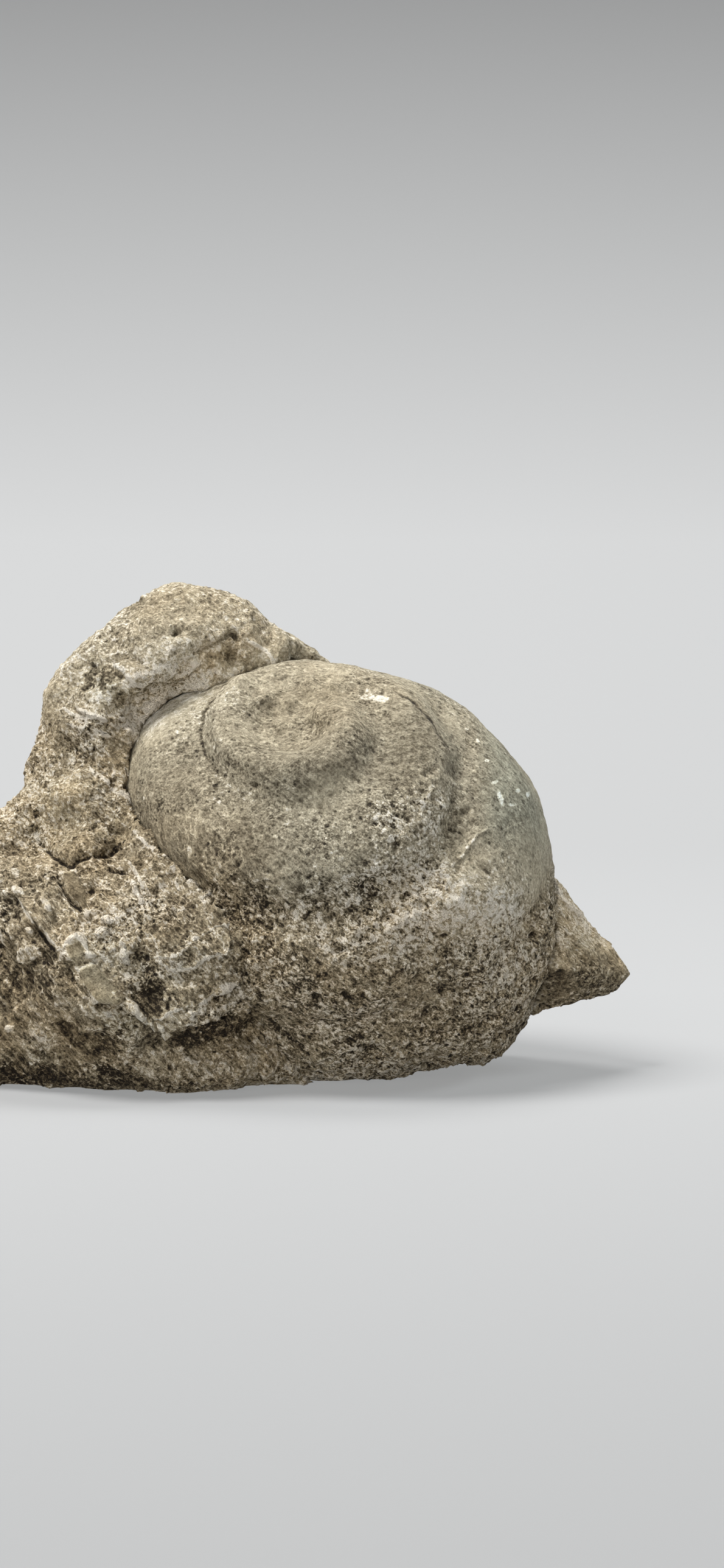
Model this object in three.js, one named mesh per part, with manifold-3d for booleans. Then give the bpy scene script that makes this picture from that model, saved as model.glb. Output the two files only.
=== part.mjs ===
// A fossil gastropod in its matrix: the internal mould of a low-spired, dextral snail, lying in a broken
// lump of sandy limestone. Two solids: the mould, and the matrix that holds it in a socket of its own shape.
// Millimetres. +X runs along the lump to the pointed corner, -Y is the exposed face, +Z is up.
// The origin is the centre of the bounding box, on the plane that the lump rests on.
import * as THREE from "three";
import { ConvexGeometry } from "three/addons/geometries/ConvexGeometry.js";
import { mergeVertices } from "three/addons/utils/BufferGeometryUtils.js";
import Module from "manifold-3d";

const wasm = await Module();
wasm.setup();

// ---- Driving dimensions ----
// Down to the assembly, everything is laid out square on to the exposed face, which then leans back.
const LEAN = 5; // degrees that the exposed face leans back from upright
const BASE_LEVEL = 2.3; // height of the resting plane

const SHELL_CENTRE = new THREE.Vector3(13.5, 0, 36);
const SHELL_FRONT = 34; // how far the mould stands out of the plane of its widest outline
const SHELL_BACK = 27; // how far it reaches back into the matrix
const SHELL_AXIS = new THREE.Vector3(-0.21, -0.67, 0.71).normalize(); // from the centre to the apex
const PARTING = 0.3; // the gap that the dissolved shell left between mould and matrix
const RING_RISE = 3.3; // how far the first, ring-like whorl stands proud of its suture
const WHORL_RISE = 2.1; // the same for the wider whorls after it
const RING_CREST = 0.9; // skews each whorl's crest: under 1 is towards the apex, over 1 away from it
const WHORL_CREST = 1.35;
const SUTURE_CUT = 1.1; // depth of the groove along the suture
const SUTURE_WIDTH = 4; // half width of that groove, in degrees of polar angle
const APEX_HOLLOW = 3.4; // depth of the worn hollow at the apex
const APEX_HOLLOW_WIDTH = 14; // its half width, in degrees
const UMBILICUS_DEPTH = 6;
const UMBILICUS_WIDTH = 15;

const MATRIX_CENTRE = new THREE.Vector3(-9.5, 3, 37);
const MATRIX_BACK = 33;
const FRONT_SQUARENESS = 3.6; // 2 gives an elliptical section, more gives a boxier one
const BACK_SQUARENESS = 2.7;
const CROWDING = 0.5; // how strongly the mesh crowds towards the exposed face
const LUMP_SIZE = 14; // size of the broad swellings of the broken rock
const LUMP_HEIGHT = 1.5;
const CHIP_SIZE = 7; // size of the small fracture facets
const CHIP_HEIGHT = 1.1;

// ---- Outlines, seen from the exposed face: [x, z] ----
const SHELL_OUTLINE = [
  [48.7, 34], [48, 41], [45, 50], [41.5, 54.8], [38, 58.8], [34.5, 62.3], [31, 64.5], [27.5, 66.3],
  [20.5, 68.6], [13.5, 70.3], [7.5, 70.8], [0.5, 70], [-5.5, 68.2], [-10.7, 66.4], [-17.2, 62.6],
  [-21.6, 57.2], [-23.6, 50], [-24, 41], [-21, 31], [-15, 22], [-8, 14], [-0.5, 7], [7.5, 1.8],
  [17.5, 2], [27.5, 3.6], [38.2, 4.8], [40.6, 6.8], [43.8, 11.4], [46.7, 18], [48.3, 25],
];
const MATRIX_OUTLINE = [
  [46.5, 23], [43.5, 34], [37.5, 47], [27.5, 59], [17.5, 67], [10, 71.2], [5.5, 74.3], [2, 76.8],
  [-0.4, 79.4], [-4, 81.4], [-7.5, 82.2], [-11, 83.1], [-14.5, 83.1], [-18, 81.6], [-20.5, 79.8],
  [-24, 77.4], [-27.5, 74], [-30.6, 71], [-33.5, 67.8], [-34.9, 65], [-35.5, 62], [-35.9, 59],
  [-36.8, 56.5], [-38, 53], [-38.8, 49.5], [-40.4, 46.4], [-42.8, 45], [-47, 43.4], [-52, 40],
  [-57, 33.5], [-60.2, 25], [-61.5, 16], [-59.5, 8], [-54.5, 3], [-48.5, 1], [-42.5, 0.4],
  [-32, 0.8], [-21, 0.2], [-11, -0.3], [-4, 0.5], [2, 1.1], [10, 0.9], [17.5, 2], [24, 3.6], [31, 5.6],
  [37.5, 10], [44.5, 16],
];
// How far forward the exposed face of the matrix stands at places on it: [x, z, forward].
const FACE = [
  [-14, 80, 12], [-16, 74, 15], [-25, 73, 12], [-29, 68, 11], [-21, 68, 15.5], [-11, 76, 14],
  [-6, 79, 10], [-2, 78, 8], [-3, 74, 9], [2, 72.5, 5], [9, 70, -3], [-13, 71, 15.5], [-16, 68.5, 16],
  [-7, 71.5, 11.5], [-4, 70.5, 6], [-10.5, 68.5, 11], [-13, 65, 7], [-18, 62.5, 8], [-25, 65, 13.5],
  [-31, 62, 10], [-20.5, 58, 10], [-26, 59, 12.5], [-33, 54, 9], [-23.5, 53, 11.5], [-23.5, 48, 14],
  [-29, 48, 17], [-37, 44, 12], [-21.5, 43, 16], [-16, 38, 20.5], [-28, 38, 22], [-42, 38, 15],
  [-52, 32, 12], [-10, 32, 26], [-20, 30, 27], [-30, 30, 26.5], [-39, 31, 24], [-36, 27, 27.5],
  [-32.5, 23, 29.5], [-29.5, 19, 31], [-26, 15.5, 32], [-22, 13.5, 32.5], [-18.5, 11, 32],
  [-13.5, 13.5, 31], [-7, 14.5, 29.5], [-1, 15.5, 26], [-3, 25, 28], [-12, 21, 29.5], [-20, 21, 30],
  [-47, 24, 18], [-40, 23, 22], [-36.5, 18.5, 24], [-32.5, 14, 26], [-27, 11, 27.5], [-42, 13, 21],
  [-36, 10, 23], [-31, 7, 25], [-57, 18, 13], [-50, 9, 18], [-38, 4, 20], [-24, 6, 27], [-18, 3, 26],
  [-12, 4, 30], [-5, 4, 29.5], [1, 6.5, 25], [6, 11, 21], [4, 3.5, 25], [12, 6, 16], [11, 2, 15],
  [18, 4, 4], [28, 8, 0], [40, 14, -2], [30, 40, 0], [10, 40, 4], [36, 60, 0],
];
const FACE_REACH = 3.6; // how far each of those places is felt
// Polar angle of the suture from the apex, in degrees, at each eighth of a turn from the apex outward.
const SUTURE_POLAR = [
  5, 7, 9, 10.5, 11.5, 13, 15.5, 18.5, 21.5, 24.5, 27, 26, 24, 27.5, 38, 43.5, 45, 54, 57, 56, 51.5, 56, 66,
  78, 90,
];
const SUTURE_FIRST_TURN = -1.5; // turns before the suture passes the left of the apex
const SUTURE_END_TURN = 1.05; // past this the last whorl runs into the matrix
// Polar angles of a whorl's suture, in degrees, over which one thing passes into the next.
const WORN_TO_RING = [16, 24]; // the worn first turns into the ring-like whorl
const RING_TO_WHORL = [28, 43]; // the ring into the wider whorls
const BODY_RISE = 20; // the body whorl rises from the last suture over this angle
// The shadowed slot under the ledge at the foot.
const SLOT = [[-16, 8.6], [-10, 8], [-5, 9.4], [0, 10.8], [3.5, 9.5], [8, 5.6]];
const SLOT_DEPTH = 5;
const SLOT_WIDTH = 2.8;
// The pointed corner that juts out behind the mould.
const CORNER = [
  [61.6, 7, 18.7], [59, 7, 22.5], [46, 5, 38], [50, -7, 20], [43, -9, 20.5], [44, 2, 12.4], [55, 4, 14.8],
  [59.3, 6, 16.4], [36, 24, 40], [38, 25, 12], [54, 16, 20],
];

const { clamp, lerp, radToDeg, smoothstep } = THREE.MathUtils;

// ---- Noise ----
// A repeatable number from 0 to 1 for each point of the whole-number grid.
function hash(i, j, k, salt) {
  const s = Math.sin(i * 127.1 + j * 311.7 + k * 74.7 + salt * 53.3) * 43758.5453;
  return s - Math.floor(s);
}

// Smooth noise from -1 to 1, with swellings about `size` across.
function swell(p, size, salt) {
  const [x, y, z] = [p.x / size, p.y / size, p.z / size];
  const [i, j, k] = [Math.floor(x), Math.floor(y), Math.floor(z)];
  const [u, v, w] = [smoothstep(x - i, 0, 1), smoothstep(y - j, 0, 1), smoothstep(z - k, 0, 1)];
  let sum = 0;
  for (const [a, b, c] of CELL_CORNERS) {
    const weight = (a ? u : 1 - u) * (b ? v : 1 - v) * (c ? w : 1 - w);
    sum += weight * hash(i + a, j + b, k + c, salt);
  }
  return 2 * sum - 1;
}
const CELL_CORNERS = [0, 1, 2, 3, 4, 5, 6, 7].map((n) => [n & 1, (n >> 1) & 1, n >> 2]);

// Fracture facets: each cell of a jittered grid holds a low dome of its own tilt, and the highest one shows,
// so that neighbours meet in creases.
function facets(p, size, salt) {
  const cell = [p.x / size, p.y / size, p.z / size];
  const base = cell.map(Math.floor);
  let height = -Infinity;
  for (let n = 0; n < 27; n++) {
    const at = [(n % 3) - 1, (Math.floor(n / 3) % 3) - 1, Math.floor(n / 9) - 1].map((d, m) => base[m] + d);
    const jitter = (m) => hash(at[0], at[1], at[2], salt + m);
    const away = cell.map((c, m) => c - at[m] - jitter(m));
    const tilted = away.reduce((sum, a, m) => sum + a * (jitter(m + 3) - 0.5), 0);
    height = Math.max(height, jitter(6) + 2 * tilted - 1.1 * Math.hypot(...away) ** 2);
  }
  return height - 0.5;
}

// ---- Bodies pressed into an outline ----
// A closed outline as its distance from the centre at each angle in the XZ plane, and the mean of that.
function outlineOf(points, centre) {
  const curve = new THREE.CatmullRomCurve3(
    points.map(([x, z]) => new THREE.Vector3(x - centre.x, 0, z - centre.z)),
    true,
    "centripetal",
  );
  const ring = curve
    .getPoints(1200)
    .map((p) => ({ angle: Math.atan2(p.z, p.x), reach: Math.hypot(p.x, p.z) }))
    .sort((a, b) => a.angle - b.angle);
  const mean = ring.reduce((sum, { reach }) => sum + reach, 0) / ring.length;
  const reachAt = (angle) => {
    let [low, high] = [0, ring.length - 1];
    while (high - low > 1) {
      const middle = (low + high) >> 1;
      if (ring[middle].angle < angle) low = middle;
      else high = middle;
    }
    const span = ring[high].angle - ring[low].angle || 1;
    return lerp(ring[low].reach, ring[high].reach, clamp((angle - ring[low].angle) / span, 0, 1));
  };
  return { mean, reachAt };
}

// A point of the unit sphere, pressed so that its rim in the XZ plane becomes the outline. Rings inside
// the rim grow rounder towards the centre.
function press(direction, centre, outline, front, back, squareness) {
  const rim = Math.min(1, Math.hypot(direction.x, direction.z));
  const angle = Math.atan2(direction.z, direction.x);
  const across = rim ** (2 / squareness);
  const along = Math.abs(direction.y) ** (2 / squareness);
  const radius = across * lerp(outline.mean, outline.reachAt(angle), across ** 1.5);
  const p = new THREE.Vector3(Math.cos(angle), 0, Math.sin(angle)).multiplyScalar(radius);
  p.y = direction.y < 0 ? -along * front : along * back;
  return p.add(centre);
}

// Moves every vertex of a geometry, and gives back the closed mesh as a manifold-3d solid.
function solidFrom(geometry, place) {
  const source = geometry.clone();
  source.deleteAttribute("normal");
  source.deleteAttribute("uv");
  const merged = mergeVertices(source, 1e-4);
  const position = merged.attributes.position;
  const p = new THREE.Vector3();
  for (let i = 0; i < position.count; i++) {
    p.fromBufferAttribute(position, i);
    const to = place(p);
    position.setXYZ(i, to.x, to.y, to.z);
  }
  return new wasm.Manifold(
    new wasm.Mesh({
      numProp: 3,
      vertProperties: position.array,
      triVerts: new Uint32Array(merged.index.array),
    }),
  );
}

// ---- The mould ----
// The suture's polar angle at a turn counted from the left of the apex, clockwise as seen from the apex.
const sutureCurve = new THREE.SplineCurve(SUTURE_POLAR.map((polar, i) => new THREE.Vector2(i / 8, polar)));
const SUTURE_TURNS = (SUTURE_POLAR.length - 1) / 8;

function suturePolar(turn) {
  const along = clamp((turn - SUTURE_FIRST_TURN) / SUTURE_TURNS, 0, 1);
  return sutureCurve.getPoint(along).y;
}

// Height of the whorls at a polar angle and a turn (0 to 1 round the axis).
function whorlRelief(polar, turn) {
  let relief = 0;
  for (let lap = -1; lap <= 1; lap++) {
    const inner = suturePolar(turn + lap - 1);
    const outer = suturePolar(turn + lap);
    const closed = 1 - smoothstep(turn + lap, SUTURE_END_TURN - 0.15, SUTURE_END_TURN + 0.1);
    const ringing = smoothstep(outer, ...WORN_TO_RING);
    if (polar > inner && polar <= outer) {
      const between = (polar - inner) / (outer - inner);
      const widening = smoothstep(outer, ...RING_TO_WHORL);
      const rounded = Math.sin(Math.PI * between ** lerp(RING_CREST, WHORL_CREST, widening));
      const open = Math.sin((Math.PI / 2) * Math.min(1, between * 1.6));
      relief += ringing * lerp(RING_RISE, WHORL_RISE, widening) * lerp(open, rounded, closed);
    }
    const groove = Math.exp(-(((polar - outer) / SUTURE_WIDTH) ** 2));
    relief -= SUTURE_CUT * closed * ringing * groove;
  }
  const outermost = suturePolar(turn + 1);
  const beyond = (polar - outermost) / BODY_RISE;
  if (beyond > 0) relief += WHORL_RISE * Math.sin((Math.PI / 2) * Math.min(1, beyond));
  relief -= APEX_HOLLOW * Math.exp(-((polar / APEX_HOLLOW_WIDTH) ** 2));
  relief -= UMBILICUS_DEPTH * Math.exp(-(((180 - polar) / UMBILICUS_WIDTH) ** 2));
  return relief;
}

const SHELL_COLUMNS = 64;
const SHELL_ROWS = 32;
const ROW_CROWDING = 1.45; // rows of the mesh crowd towards the apex, where the whorls are small
const SHELL_SINK = 0.6 * WHORL_RISE; // keeps the relief's mean on the pressed surface
const RIM_CALM = 0.75; // relief dies away by this share on the way to the outline
const SHELL_RIM = 0.86; // distance from the centre at which it starts to, where the outline is at 1
const MATRIX_RIM = 0.9;
const shellOutline = outlineOf(SHELL_OUTLINE, SHELL_CENTRE);
const axisLeft = new THREE.Vector3().crossVectors(SHELL_AXIS, new THREE.Vector3(0, 1, 0)).normalize();
const axisUp = new THREE.Vector3().crossVectors(axisLeft, SHELL_AXIS);

// The mould's solid, grown outward by a small distance where its socket is cut.
function shellSolid(grow) {
  const sphere = new THREE.SphereGeometry(1, SHELL_COLUMNS, SHELL_ROWS);
  return solidFrom(sphere, (p) => {
    const row = Math.acos(clamp(p.y, -1, 1)) / Math.PI;
    const polar = Math.PI * row ** ROW_CROWDING;
    const azimuth = Math.atan2(p.z, p.x);
    const direction = SHELL_AXIS.clone()
      .multiplyScalar(Math.cos(polar))
      .addScaledVector(axisLeft, Math.sin(polar) * Math.cos(azimuth))
      .addScaledVector(axisUp, Math.sin(polar) * Math.sin(azimuth));
    const turn = (1 + azimuth / (2 * Math.PI)) % 1;
    const onRim = smoothstep(Math.hypot(direction.x, direction.z), SHELL_RIM, 1);
    const rise = (whorlRelief(radToDeg(polar), turn) - SHELL_SINK) * (1 - RIM_CALM * onRim) + grow;
    const at = press(direction, SHELL_CENTRE, shellOutline, SHELL_FRONT, SHELL_BACK, 2);
    return at.addScaledVector(at.clone().sub(SHELL_CENTRE).normalize(), rise);
  });
}

// ---- The matrix ----
// Distance from a point of the exposed face to a line of points.
function distanceToLine(x, z, line) {
  let least = Infinity;
  for (let i = 1; i < line.length; i++) {
    const [ax, az] = line[i - 1];
    const [bx, bz] = [line[i][0] - ax, line[i][1] - az];
    const along = clamp(((x - ax) * bx + (z - az) * bz) / (bx * bx + bz * bz), 0, 1);
    least = Math.min(least, Math.hypot(x - ax - along * bx, z - az - along * bz));
  }
  return least;
}

// How far forward the exposed face stands at a point of it: the places around the point, blended.
function faceForward(x, z) {
  let [sum, weights] = [0, 0];
  for (const [atX, atZ, forward] of FACE) {
    const weight = 1 / (1 + ((x - atX) ** 2 + (z - atZ) ** 2) / FACE_REACH ** 2) ** 3;
    sum += weight * forward;
    weights += weight;
  }
  return sum / weights - SLOT_DEPTH * Math.exp(-((distanceToLine(x, z, SLOT) / SLOT_WIDTH) ** 2));
}

const MATRIX_DETAIL = 14; // how finely the ball that becomes the matrix is divided
const matrixOutline = outlineOf(MATRIX_OUTLINE, MATRIX_CENTRE);

function matrixSolid() {
  return solidFrom(new THREE.IcosahedronGeometry(1, MATRIX_DETAIL), (vertex) => {
    const direction = vertex.clone().setY(vertex.y - CROWDING).normalize();
    const squareness = direction.y < 0 ? FRONT_SQUARENESS : BACK_SQUARENESS;
    const flat = press(direction, MATRIX_CENTRE, matrixOutline, 1, MATRIX_BACK, squareness);
    if (direction.y < 0) {
      const forward = MATRIX_CENTRE.y - flat.y;
      flat.y = MATRIX_CENTRE.y - forward * (MATRIX_CENTRE.y + faceForward(flat.x, flat.z));
    }
    const rough = LUMP_HEIGHT * swell(flat, LUMP_SIZE, 1) + CHIP_HEIGHT * facets(flat, CHIP_SIZE, 11);
    const onRim = smoothstep(Math.hypot(direction.x, direction.z), MATRIX_RIM, 1);
    return flat.addScaledVector(flat.clone().sub(MATRIX_CENTRE).normalize(), rough * (1 - RIM_CALM * onRim));
  });
}

function cornerSolid() {
  return solidFrom(new ConvexGeometry(CORNER.map((p) => new THREE.Vector3(...p))), (p) => p);
}

// Everything under the plane that the lump rests on.
function belowRest() {
  const [wide, deep] = [200, 40];
  const block = new THREE.BoxGeometry(wide, wide, deep);
  return solidFrom(block, (p) => p.clone().setZ(p.z - deep / 2 + BASE_LEVEL));
}

// ---- Assembly ----
function meshFrom(solid, name, material) {
  const made = solid.getMesh();
  const geometry = new THREE.BufferGeometry();
  geometry.setAttribute("position", new THREE.BufferAttribute(made.vertProperties, 3));
  geometry.setIndex(new THREE.BufferAttribute(made.triVerts, 1));
  geometry.computeVertexNormals();
  const mesh = new THREE.Mesh(geometry, material);
  mesh.name = name;
  return mesh;
}

const mould = shellSolid(0).rotate([-LEAN, 0, 0]).subtract(belowRest());
const rock = matrixSolid()
  .add(cornerSolid())
  .subtract(shellSolid(PARTING))
  .rotate([-LEAN, 0, 0])
  .subtract(belowRest());
const mouldStone = new THREE.MeshStandardMaterial({ color: 0xa39e88, roughness: 0.86, metalness: 0 });
const matrixStone = new THREE.MeshStandardMaterial({ color: 0xa8967a, roughness: 0.93, metalness: 0 });

const specimen = new THREE.Group();
specimen.add(meshFrom(mould, "gastropod", mouldStone));
specimen.add(meshFrom(rock, "matrix", matrixStone));

const box = new THREE.Box3().setFromObject(specimen);
const middle = box.getCenter(new THREE.Vector3());
specimen.position.set(-middle.x, -middle.y, -box.min.z);

export default specimen;
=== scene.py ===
"""The looks of a fossil gastropod in its matrix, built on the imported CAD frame.

The mould and the matrix are fine meshes made from their CAD nodes. Their relief is worked out in two ways: broad and
fine rock texture by noise in space, all round, and the features of the exposed face by lines and spots that are
given in pixels of the 1190 x 2576 frame and projected on to it along the camera's view.
"""
import math

import bmesh
import bpy
import numpy as np
from mathutils import Matrix, Vector
from mathutils.bvhtree import BVHTree


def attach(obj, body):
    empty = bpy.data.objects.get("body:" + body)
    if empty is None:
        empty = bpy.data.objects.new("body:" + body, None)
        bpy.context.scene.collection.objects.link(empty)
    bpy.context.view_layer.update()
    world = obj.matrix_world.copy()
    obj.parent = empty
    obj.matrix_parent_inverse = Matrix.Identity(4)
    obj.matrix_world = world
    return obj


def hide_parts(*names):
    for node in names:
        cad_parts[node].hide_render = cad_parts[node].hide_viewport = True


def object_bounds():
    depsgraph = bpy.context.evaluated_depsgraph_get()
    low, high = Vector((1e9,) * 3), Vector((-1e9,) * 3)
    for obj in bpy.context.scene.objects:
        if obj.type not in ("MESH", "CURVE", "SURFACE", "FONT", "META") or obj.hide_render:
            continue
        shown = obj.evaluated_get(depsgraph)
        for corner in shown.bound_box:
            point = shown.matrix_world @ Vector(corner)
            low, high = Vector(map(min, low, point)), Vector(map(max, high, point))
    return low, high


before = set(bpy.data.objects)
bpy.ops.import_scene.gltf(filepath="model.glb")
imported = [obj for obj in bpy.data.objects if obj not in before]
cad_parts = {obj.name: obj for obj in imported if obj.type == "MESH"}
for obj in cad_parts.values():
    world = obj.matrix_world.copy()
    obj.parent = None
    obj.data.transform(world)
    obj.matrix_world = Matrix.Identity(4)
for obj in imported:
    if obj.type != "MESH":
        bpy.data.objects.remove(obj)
cad_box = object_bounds()

# ---- Driving dimensions: millimetres, in the face's own frame, which leans back from the row frame ----
MM = 0.001
LEAN = math.radians(5)
CORNER_TIP = (61.6, 7.0, 18.7)  # the pointed corner, the matrix's furthest point along +X
CAMERA_DISTANCE = 700.0
VIEW_CENTRE = (17.0, 50.2)  # x and z that the middle of the frame looks at
PIXELS_PER_MM = 10.0  # at depth 0
FRAME_PIXELS = (1190, 2576)

MOULD_VOXEL = 0.4
MATRIX_VOXEL = 0.45
MOST_TRIANGLES = 180000  # in each piece
STREAK_TURN = math.radians(52)  # how steeply the fracture's fine lines fall to the right
FIBRE_TURN = math.radians(33)  # the same for the sandy grain
RISE_TURN = math.radians(-28)  # the same for the lobe, whose lines rise


# ---- Places ----
def lean_matrix():
    """Turns the face's frame into the row frame's directions."""
    c, s = math.cos(LEAN), math.sin(LEAN)
    return np.array([[1, 0, 0], [0, c, s], [0, -s, c]])


def points_of(obj):
    """The vertices of an object in metres, one to a row."""
    co = np.empty(len(obj.data.vertices) * 3, np.float64)
    obj.data.vertices.foreach_get("co", co)
    return co.reshape(-1, 3)


def face_origin():
    """The face frame's origin in the row frame, in millimetres, from the place of the pointed corner."""
    matrix_points = points_of(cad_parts["matrix"]) / MM
    tip = matrix_points[matrix_points[:, 0].argmax()]
    return tip - lean_matrix() @ np.array(CORNER_TIP)


FACE_ORIGIN = face_origin()


def to_face(points):
    """Row-frame metres to face-frame millimetres."""
    return (points / MM - FACE_ORIGIN) @ lean_matrix()


def to_row(point):
    """A face-frame point in millimetres to row-frame metres."""
    return Vector((lean_matrix() @ np.array(point) + FACE_ORIGIN) * MM)


def to_pixels(face):
    """Where the camera sees face-frame points, in the frame's pixels."""
    near = CAMERA_DISTANCE / (CAMERA_DISTANCE + face[:, 1])
    u = FRAME_PIXELS[0] / 2 + PIXELS_PER_MM * (face[:, 0] - VIEW_CENTRE[0]) * near
    v = FRAME_PIXELS[1] / 2 - PIXELS_PER_MM * (face[:, 2] - VIEW_CENTRE[1]) * near
    return np.stack([u, v], 1)


def step(x, low, high):
    """Rises smoothly from 0 at low to 1 at high."""
    t = np.clip((x - low) / (high - low), 0, 1)
    return t * t * (3 - 2 * t)


def fall(x, low, high):
    """Falls smoothly from 1 at low to 0 at high."""
    return 1 - step(x, low, high)


# ---- Noise in space, in millimetres ----
def hashed(cell, salt):
    """A repeatable number from 0 to 1 for each whole-number cell. The large numbers only mix the bits well."""
    c = cell.astype(np.int64).astype(np.uint32)
    h = c[:, 0] * np.uint32(73856093) ^ c[:, 1] * np.uint32(19349663) ^ c[:, 2] * np.uint32(83492791)
    h = h ^ np.uint32((salt * 2654435761) & 0xFFFFFFFF)
    h = (h ^ (h >> np.uint32(15))) * np.uint32(2246822519)
    h = (h ^ (h >> np.uint32(13))) * np.uint32(3266489917)
    return (h ^ (h >> np.uint32(16))) / 4294967296.0


def noise(p, size, salt=0):
    """Smooth gradient noise, about -1 to 1, with swellings about half of size across."""
    q = p / size
    base = np.floor(q)
    f = q - base
    w = f * f * f * (f * (f * 6 - 15) + 10)
    total = np.zeros(len(p))
    for n in range(8):
        corner = np.array([n & 1, n >> 1 & 1, n >> 2])
        slope = np.stack([hashed(base + corner, salt * 3 + m) * 2 - 1 for m in range(3)], 1)
        weight = np.where(corner, w, 1 - w).prod(1)
        total += weight * (slope * (f - corner)).sum(1)
    return total * 1.5


def fractal(p, size, octaves, salt=0, gain=0.55):
    """Noise of several sizes, each half of the last, about -1 to 1."""
    total, amount, whole = 0.0, 1.0, 0.0
    for octave in range(octaves):
        total = total + amount * noise(p, size / 2**octave, salt + 17 * octave)
        whole += amount
        amount *= gain
    return total / whole


def ridged(p, size, octaves, salt=0, gain=0.55):
    """Sharp ridges with rounded hollows between them, 0 in the hollows to 1 on the ridges."""
    total, amount, whole = 0.0, 1.0, 0.0
    for octave in range(octaves):
        total = total + amount * (1 - np.abs(noise(p, size / 2**octave, salt + 17 * octave))) ** 3
        whole += amount
        amount *= gain
    return total / whole


def neighbours(p, size):
    """The 27 cells round each point: the cell, and the way from its corner to the point."""
    q = p / size
    base = np.floor(q)
    for n in range(27):
        cell = base + np.array([n % 3 - 1, n // 3 % 3 - 1, n // 9 - 1])
        yield cell, q - cell


def facets(p, size, salt):
    """Fracture facets: the highest of tilted low domes, so that neighbours meet in creases."""
    height = np.full(len(p), -np.inf)
    for cell, away in neighbours(p, size):
        jitter = np.stack([hashed(cell, salt + m) for m in range(3)], 1)
        tilt = np.stack([hashed(cell, salt + 3 + m) for m in range(3)], 1) - 0.5
        away = away - jitter
        dome = hashed(cell, salt + 6) + 3.0 * (away * tilt).sum(1) - 0.9 * (away**2).sum(1)
        height = np.maximum(height, dome)
    return height - 0.5


def pits(p, size, share, salt):
    """Round pits, 1 at the middle of one and 0 outside. share is how many cells hold one."""
    depth = np.zeros(len(p))
    for cell, away in neighbours(p, size):
        jitter = np.stack([hashed(cell, salt + m) for m in range(3)], 1)
        radius = 0.18 + 0.3 * hashed(cell, salt + 3)
        distance = np.sqrt(((away - jitter) ** 2).sum(1))
        pit = np.clip(1 - (distance / radius) ** 2, 0, 1) * (hashed(cell, salt + 4) < share)
        depth = np.maximum(depth, pit)
    return depth


def ledges(height, steps):
    """Turns a smooth height into steps with short risers."""
    scaled = height * steps
    floor = np.floor(scaled)
    return (floor + step(scaled - floor, 0.55, 0.95)) / steps


# ---- Features of the exposed face, in pixels ----
# A line is a list of points. A spot is x, y, half width, half height (the same when it is left out) and turn.
LINE_SIGHT = 150  # how far from a line's box anything is told about it


def line_distance(uv, line):
    """Distance to a line of points, and on which side of it: positive on the right of its direction."""
    least, side = np.full(len(uv), np.inf), np.zeros(len(uv))
    corners = np.array(line, float)
    close = ((uv > corners.min(0) - LINE_SIGHT) & (uv < corners.max(0) + LINE_SIGHT)).all(1).nonzero()[0]
    for start, end in zip(corners, corners[1:]):
        way = end - start
        away = uv[close] - start
        off = away - np.clip(away @ way / (way @ way), 0, 1)[:, None] * way
        distance = np.hypot(off[:, 0], off[:, 1])
        nearer = distance < least[close]
        least[close[nearer]] = distance[nearer]
        side[close[nearer]] = np.sign(way[0] * away[nearer, 1] - way[1] * away[nearer, 0])
    return least, side


def groove(uv, line, width):
    """1 along a line, falling to 0 about two widths away."""
    return np.exp(-((line_distance(uv, line)[0] / width) ** 2))


def grooves(uv, lines, width):
    """The same for several lines."""
    return np.max([groove(uv, line, width) for line in lines], axis=0)


SHELF_EDGE = 4  # how far the lip reaches over its line
SHELF_DROP = 7  # how far below the line the recess is at its deepest


def shelf(uv, line, lip, recess):
    """A ledge's edge, drawn from left to right: the lip just above it and the recess just below it, each up to 1."""
    distance, side = line_distance(uv, line)
    above = np.where(side < 0, np.exp(-distance / lip), np.exp(-((distance / SHELF_EDGE) ** 2)))
    under = np.where(side > 0, step(distance, 0, SHELF_DROP) * np.exp(-distance / recess), 0)
    return above, under


def spot(uv, x, y, across, up=None, turn=0.0):
    """A soft spot with the given half widths, turned clockwise by some degrees."""
    up = up or across
    c, s = math.cos(math.radians(turn)), math.sin(math.radians(turn))
    dx, dy = uv[:, 0] - x, uv[:, 1] - y
    return np.exp(-(((c * dx + s * dy) / across) ** 2) - ((c * dy - s * dx) / up) ** 2)


def spots(uv, places):
    """The same for several spots."""
    return np.clip(sum(spot(uv, *place) for place in places), 0, 1)


def inside(uv, corners, soft=3.0):
    """1 inside a convex outline whose corners go round clockwise as seen, with a soft edge."""
    depth = np.full(len(uv), np.inf)
    for (ax, ay), (bx, by) in zip(corners, corners[1:] + corners[:1]):
        dx, dy = bx - ax, by - ay
        depth = np.minimum(depth, (dx * (uv[:, 1] - ay) - dy * (uv[:, 0] - ax)) / math.hypot(dx, dy))
    return step(depth, -soft, soft)


# ---- Fine meshes from the CAD nodes ----
WELD_DISTANCE = 0.01
HIDDEN_GAP = 1.3  # nearer to the other piece than this, a surface that faces it can't be seen
HIDDEN_THINNING = 1.0
UNSEEN_THINNING = 0.6  # on the sides that the camera doesn't see


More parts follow.
